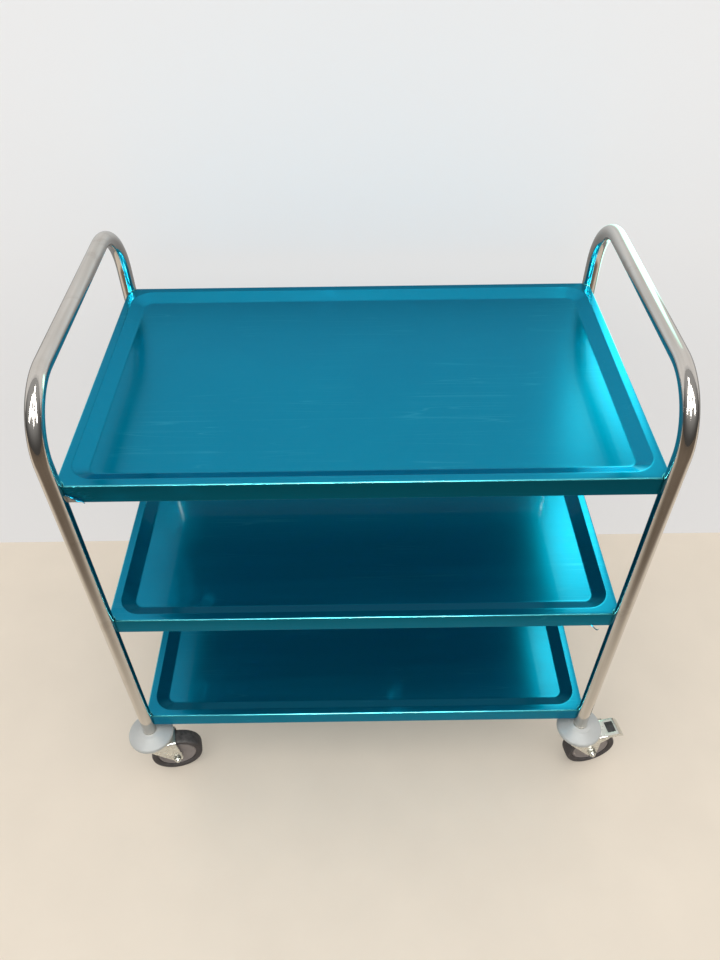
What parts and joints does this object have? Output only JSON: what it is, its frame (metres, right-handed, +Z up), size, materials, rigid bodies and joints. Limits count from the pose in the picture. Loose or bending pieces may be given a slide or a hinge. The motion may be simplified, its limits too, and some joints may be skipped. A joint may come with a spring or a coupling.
{
  "type": "three-tier serving trolley",
  "caption": "Stainless-steel serving trolley with dished trays between two bent-tube end frames, on swivel castors with bumper rings and foot brakes.",
  "frame": {"origin": "on the floor, under the middle of the trolley", "axes": "+X along the trays from the left end frame to the right one, +Y from front to rear, +Z up"},
  "size_m": [1.0282, 0.595, 0.955],
  "materials": {
    "polished_stainless": "polished bent tube, mirror-like with fine lengthwise lines",
    "film_on_steel": "brushed stainless sheet under clear teal-blue protective film, satin",
    "zinc_plate": "bright zinc-plated pressed steel",
    "grey_plastic": "light grey moulded plastic, satin",
    "hub_plastic": "warm grey moulded plastic",
    "tyre_rubber": "dark grey rubber tread",
    "black_plastic": "black moulded plastic"
  },
  "bodies": {
    "root": {"end_frame_left": "polished_stainless", "end_frame_right": "polished_stainless", "tray_bottom": "film_on_steel", "tray_middle": "film_on_steel", "tray_top": "film_on_steel", "tray_bolt_bottom_front_left": "zinc_plate", "tray_bolt_bottom_front_right": "zinc_plate", "tray_bolt_bottom_rear_right": "zinc_plate", "tray_bolt_bottom_rear_left": "zinc_plate", "tray_bolt_middle_front_left": "zinc_plate", "tray_bolt_middle_front_right": "zinc_plate", "tray_bolt_middle_rear_right": "zinc_plate", "tray_bolt_middle_rear_left": "zinc_plate", "tray_bolt_top_front_left": "zinc_plate", "tray_bolt_top_front_right": "zinc_plate", "tray_bolt_top_rear_right": "zinc_plate", "tray_bolt_top_rear_left": "zinc_plate", "castor_front_left_stem_socket": "black_plastic", "castor_front_left_kingpin": "zinc_plate", "castor_front_left_swivel_head": "zinc_plate", "castor_front_left_bumper": "grey_plastic", "castor_front_right_stem_socket": "black_plastic", "castor_front_right_kingpin": "zinc_plate", "castor_front_right_swivel_head": "zinc_plate", "castor_front_right_bumper": "grey_plastic", "castor_rear_right_stem_socket": "black_plastic", "castor_rear_right_kingpin": "zinc_plate", "castor_rear_right_swivel_head": "zinc_plate", "castor_rear_right_bumper": "grey_plastic", "castor_rear_left_stem_socket": "black_plastic", "castor_rear_left_kingpin": "zinc_plate", "castor_rear_left_swivel_head": "zinc_plate", "castor_rear_left_bumper": "grey_plastic"},
    "fork_front_left": {"castor_front_left_fork": "zinc_plate", "castor_front_left_axle_bolt": "zinc_plate", "castor_front_left_axle_nut": "zinc_plate"},
    "wheel_front_left": {"castor_front_left_hub": "hub_plastic", "castor_front_left_tyre": "tyre_rubber"},
    "fork_front_right": {"castor_front_right_fork": "zinc_plate", "castor_front_right_axle_bolt": "zinc_plate", "castor_front_right_axle_nut": "zinc_plate", "castor_front_right_brake_pin": "zinc_plate"},
    "wheel_front_right": {"castor_front_right_hub": "hub_plastic", "castor_front_right_tyre": "tyre_rubber"},
    "pedal_front_right": {"castor_front_right_brake_pedal": "zinc_plate", "castor_front_right_brake_shoe": "tyre_rubber"},
    "fork_rear_right": {"castor_rear_right_fork": "zinc_plate", "castor_rear_right_axle_bolt": "zinc_plate", "castor_rear_right_axle_nut": "zinc_plate"},
    "wheel_rear_right": {"castor_rear_right_hub": "hub_plastic", "castor_rear_right_tyre": "tyre_rubber"},
    "fork_rear_left": {"castor_rear_left_fork": "zinc_plate", "castor_rear_left_axle_bolt": "zinc_plate", "castor_rear_left_axle_nut": "zinc_plate", "castor_rear_left_brake_pin": "zinc_plate"},
    "wheel_rear_left": {"castor_rear_left_hub": "hub_plastic", "castor_rear_left_tyre": "tyre_rubber"},
    "pedal_rear_left": {"castor_rear_left_brake_pedal": "zinc_plate", "castor_rear_left_brake_shoe": "tyre_rubber"}
  },
  "joints": [
    {"name": "swivel_front_left", "type": "hinge", "parent": "root", "child": "fork_front_left", "pos_m": [-0.4175, -0.255, 0.104], "axis": [0, 0, 1], "continuous": true},
    {"name": "roll_front_left", "type": "hinge", "parent": "fork_front_left", "child": "wheel_front_left", "pos_m": [-0.38235, -0.24721, 0.05], "axis": [-0.2164, 0.9763, 0], "continuous": true},
    {"name": "swivel_front_right", "type": "hinge", "parent": "root", "child": "fork_front_right", "pos_m": [0.4175, -0.255, 0.104], "axis": [0, 0, 1], "continuous": true},
    {"name": "roll_front_right", "type": "hinge", "parent": "fork_front_right", "child": "wheel_front_right", "pos_m": [0.45284, -0.24813, 0.05], "axis": [-0.1908, 0.9816, 0], "continuous": true},
    {"name": "brake_front_right", "type": "hinge", "parent": "fork_front_right", "child": "pedal_front_right", "pos_m": [0.47345, -0.24412, 0.1], "axis": [-0.1908, 0.9816, 0], "range_deg": [0, 14]},
    {"name": "swivel_rear_right", "type": "hinge", "parent": "root", "child": "fork_rear_right", "pos_m": [0.4175, 0.255, 0.104], "axis": [0, 0, 1], "continuous": true},
    {"name": "roll_rear_right", "type": "hinge", "parent": "fork_rear_right", "child": "wheel_rear_right", "pos_m": [0.38235, 0.24721, 0.05], "axis": [0.2164, -0.9763, 0], "continuous": true},
    {"name": "swivel_rear_left", "type": "hinge", "parent": "root", "child": "fork_rear_left", "pos_m": [-0.4175, 0.255, 0.104], "axis": [0, 0, 1], "continuous": true},
    {"name": "roll_rear_left", "type": "hinge", "parent": "fork_rear_left", "child": "wheel_rear_left", "pos_m": [-0.45284, 0.24813, 0.05], "axis": [0.1908, -0.9816, 0], "continuous": true},
    {"name": "brake_rear_left", "type": "hinge", "parent": "fork_rear_left", "child": "pedal_rear_left", "pos_m": [-0.47345, 0.24412, 0.1], "axis": [0.1908, -0.9816, 0], "range_deg": [0, 14]}
  ]
}
